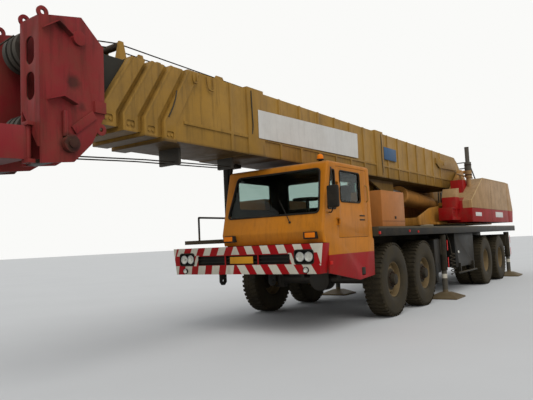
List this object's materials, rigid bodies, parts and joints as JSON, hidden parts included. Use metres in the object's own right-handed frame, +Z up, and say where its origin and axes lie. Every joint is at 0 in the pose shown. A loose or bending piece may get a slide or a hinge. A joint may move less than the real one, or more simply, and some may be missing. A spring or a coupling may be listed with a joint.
{
  "type": "mobile crane",
  "caption": "Four-axle truck-mounted telescopic crane with slewing platform, lift cylinder, outriggers, driver's cab beside the lowered boom and a pinned jib stub at its head.",
  "frame": {"origin": "middle of the bounding box on the ground", "axes": "+X forward, +Y to the vehicle's left, +Z up"},
  "size_m": [19.31, 3.7, 4.157],
  "materials": {
    "chassis_black": "matt, dusty",
    "carrier_orange": "faded gloss",
    "carrier_red": "faded gloss",
    "boom_orange": "faded gloss",
    "head_red": "faded gloss",
    "platform_yellow": "faded gloss",
    "weight_red": "faded gloss",
    "steel_dark": "greasy",
    "rod_chrome": "polished",
    "tyre": "dusty",
    "rim_tan": "dusty",
    "glass": "clear",
    "lamp": "clear lens",
    "trim_black": "matt",
    "jack_white": "dusty"
  },
  "bodies": {
    "carrier": {"chassis_frame": "chassis_black", "deck": "carrier_orange", "engine_hood": "carrier_orange", "cabinet": "carrier_orange", "slew_ring": "steel_dark", "axles": "steel_dark", "bumper": "carrier_red", "lamps": "lamp", "mirror": "trim_black", "cab_shell": "carrier_orange", "cab_glass": "glass", "cab_interior": "trim_black"},
    "cab_door_body": {"cab_door": "carrier_orange", "cab_door_glass": "glass"},
    "platform": {"slewing_frame": "platform_yellow", "counterweight": "weight_red", "housing": "platform_yellow", "winches": "steel_dark", "operator_cab": "carrier_orange", "operator_glass": "glass"},
    "operator_door_body": {"operator_door": "carrier_orange", "operator_door_glass": "glass"},
    "boom": {"boom_base": "boom_orange"},
    "boom_section_2": {"section_2": "boom_orange"},
    "boom_section_3": {"section_3": "boom_orange"},
    "boom_section_4": {"section_4": "boom_orange"},
    "boom_section_5": {"section_5": "chassis_black", "boom_head": "head_red", "head_sheaves": "steel_dark", "jib_stub": "head_red"},
    "lift_barrel_body": {"lift_barrel": "boom_orange"},
    "lift_rod_body": {"lift_rod": "rod_chrome"},
    "knuckle_body_front_left": {"knuckle_front_left": "steel_dark"},
    "wheel_front_left": {"rim_front_left": "rim_tan", "tyre_front_left": "tyre"},
    "knuckle_body_front_right": {"knuckle_front_right": "steel_dark"},
    "wheel_front_right": {"rim_front_right": "rim_tan", "tyre_front_right": "tyre"},
    "knuckle_body_second_left": {"knuckle_second_left": "steel_dark"},
    "wheel_second_left": {"rim_second_left": "rim_tan", "tyre_second_left": "tyre"},
    "knuckle_body_second_right": {"knuckle_second_right": "steel_dark"},
    "wheel_second_right": {"rim_second_right": "rim_tan", "tyre_second_right": "tyre"},
    "wheel_third_left": {"rim_third_left": "rim_tan", "tyre_third_left": "tyre"},
    "wheel_third_right": {"rim_third_right": "rim_tan", "tyre_third_right": "tyre"},
    "wheel_fourth_left": {"rim_fourth_left": "rim_tan", "tyre_fourth_left": "tyre"},
    "wheel_fourth_right": {"rim_fourth_right": "rim_tan", "tyre_fourth_right": "tyre"},
    "outrigger_front_left": {"beam_front_left": "chassis_black"},
    "jack_body_front_left": {"jack_front_left": "jack_white"},
    "outrigger_front_right": {"beam_front_right": "chassis_black"},
    "jack_body_front_right": {"jack_front_right": "jack_white"},
    "outrigger_rear_left": {"beam_rear_left": "chassis_black"},
    "jack_body_rear_left": {"jack_rear_left": "jack_white"},
    "outrigger_rear_right": {"beam_rear_right": "chassis_black"},
    "jack_body_rear_right": {"jack_rear_right": "jack_white"}
  },
  "joints": [
    {"name": "slew", "type": "hinge", "parent": "carrier", "child": "platform", "pos_m": [-5.205, 0, 1.76], "axis": [0, 0, 1], "continuous": true},
    {"name": "boom_lift", "type": "hinge", "parent": "platform", "child": "boom", "pos_m": [-6.495, 0, 3.29], "axis": [0, -1, 0], "range_deg": [0, 80]},
    {"name": "boom_extend", "type": "slide", "parent": "boom", "child": "boom_section_2", "axis": [1, 0, 0], "range_m": [0, 7.6]},
    {"name": "extend_section_3", "type": "slide", "parent": "boom_section_2", "child": "boom_section_3", "axis": [1, 0, 0], "range_m": [0, 7.6]},
    {"name": "extend_section_4", "type": "slide", "parent": "boom_section_3", "child": "boom_section_4", "axis": [1, 0, 0], "range_m": [0, 7.6]},
    {"name": "extend_section_5", "type": "slide", "parent": "boom_section_4", "child": "boom_section_5", "axis": [1, 0, 0], "range_m": [0, 7.6]},
    {"name": "lift_barrel_swing", "type": "hinge", "parent": "platform", "child": "lift_barrel_body", "pos_m": [-5.155, 0, 2.38], "axis": [0, -1, 0], "range_deg": [0, 86]},
    {"name": "lift_rod_slide", "type": "slide", "parent": "lift_barrel_body", "child": "lift_rod_body", "axis": [0.9972, 0, 0.0745], "range_m": [0, 2.1]},
    {"name": "cab_door_hinge", "type": "hinge", "parent": "carrier", "child": "cab_door_body", "pos_m": [3.915, 1.554, 2], "axis": [0, 0, -1], "range_deg": [0, 70]},
    {"name": "operator_door_hinge", "type": "hinge", "parent": "platform", "child": "operator_door_body", "pos_m": [-3.575, -1.524, 2.5], "axis": [0, 0, -1], "range_deg": [0, 80]},
    {"name": "steer_front_left", "type": "hinge", "parent": "carrier", "child": "knuckle_body_front_left", "pos_m": [1.845, 1.046, 0.685], "axis": [0, 0, 1], "range_deg": [-30, 30]},
    {"name": "spin_front_left", "type": "hinge", "parent": "knuckle_body_front_left", "child": "wheel_front_left", "pos_m": [1.845, 1.384, 0.685], "axis": [0, 1, 0], "continuous": true},
    {"name": "steer_front_right", "type": "hinge", "parent": "carrier", "child": "knuckle_body_front_right", "pos_m": [1.845, -1.046, 0.685], "axis": [0, 0, 1], "range_deg": [-30, 30]},
    {"name": "spin_front_right", "type": "hinge", "parent": "knuckle_body_front_right", "child": "wheel_front_right", "pos_m": [1.845, -1.384, 0.685], "axis": [0, 1, 0], "continuous": true},
    {"name": "steer_second_left", "type": "hinge", "parent": "carrier", "child": "knuckle_body_second_left", "pos_m": [0.175, 1.046, 0.685], "axis": [0, 0, 1], "range_deg": [-24, 24]},
    {"name": "spin_second_left", "type": "hinge", "parent": "knuckle_body_second_left", "child": "wheel_second_left", "pos_m": [0.175, 1.384, 0.685], "axis": [0, 1, 0], "continuous": true},
    {"name": "steer_second_right", "type": "hinge", "parent": "carrier", "child": "knuckle_body_second_right", "pos_m": [0.175, -1.046, 0.685], "axis": [0, 0, 1], "range_deg": [-24, 24]},
    {"name": "spin_second_right", "type": "hinge", "parent": "knuckle_body_second_right", "child": "wheel_second_right", "pos_m": [0.175, -1.384, 0.685], "axis": [0, 1, 0], "continuous": true},
    {"name": "spin_third_left", "type": "hinge", "parent": "carrier", "child": "wheel_third_left", "pos_m": [-4.975, 1.384, 0.685], "axis": [0, 1, 0], "continuous": true},
    {"name": "spin_third_right", "type": "hinge", "parent": "carrier", "child": "wheel_third_right", "pos_m": [-4.975, -1.384, 0.685], "axis": [0, 1, 0], "continuous": true},
    {"name": "spin_fourth_left", "type": "hinge", "parent": "carrier", "child": "wheel_fourth_left", "pos_m": [-6.725, 1.384, 0.685], "axis": [0, 1, 0], "continuous": true},
    {"name": "spin_fourth_right", "type": "hinge", "parent": "carrier", "child": "wheel_fourth_right", "pos_m": [-6.725, -1.384, 0.685], "axis": [0, 1, 0], "continuous": true},
    {"name": "outrigger_front_left_slide", "type": "slide", "parent": "carrier", "child": "outrigger_front_left", "axis": [0, 1, 0], "range_m": [0, 1.9]},
    {"name": "jack_front_left_slide", "type": "slide", "parent": "outrigger_front_left", "child": "jack_body_front_left", "axis": [0, 0, 1], "range_m": [0, 0.45]},
    {"name": "outrigger_front_right_slide", "type": "slide", "parent": "carrier", "child": "outrigger_front_right", "axis": [0, -1, 0], "range_m": [0, 1.9]},
    {"name": "jack_front_right_slide", "type": "slide", "parent": "outrigger_front_right", "child": "jack_body_front_right", "axis": [0, 0, 1], "range_m": [0, 0.45]},
    {"name": "outrigger_rear_left_slide", "type": "slide", "parent": "carrier", "child": "outrigger_rear_left", "axis": [0, 1, 0], "range_m": [0, 1.9]},
    {"name": "jack_rear_left_slide", "type": "slide", "parent": "outrigger_rear_left", "child": "jack_body_rear_left", "axis": [0, 0, 1], "range_m": [0, 0.45]},
    {"name": "outrigger_rear_right_slide", "type": "slide", "parent": "carrier", "child": "outrigger_rear_right", "axis": [0, -1, 0], "range_m": [0, 1.9]},
    {"name": "jack_rear_right_slide", "type": "slide", "parent": "outrigger_rear_right", "child": "jack_body_rear_right", "axis": [0, 0, 1], "range_m": [0, 0.45]}
  ],
  "couplings": [
    {"joint": "extend_section_3", "follows": "boom_extend", "ratio": 1},
    {"joint": "extend_section_4", "follows": "boom_extend", "ratio": 1},
    {"joint": "extend_section_5", "follows": "boom_extend", "ratio": 1},
    {"joint": "lift_barrel_swing", "follows": "boom_lift", "ratio": 1.0514},
    {"joint": "lift_rod_slide", "follows": "boom_lift", "m_per_rad": 1.4719},
    {"joint": "steer_front_right", "follows": "steer_front_left", "ratio": 1},
    {"joint": "steer_second_left", "follows": "steer_front_left", "ratio": 0.78},
    {"joint": "steer_second_right", "follows": "steer_front_left", "ratio": 0.78}
  ]
}
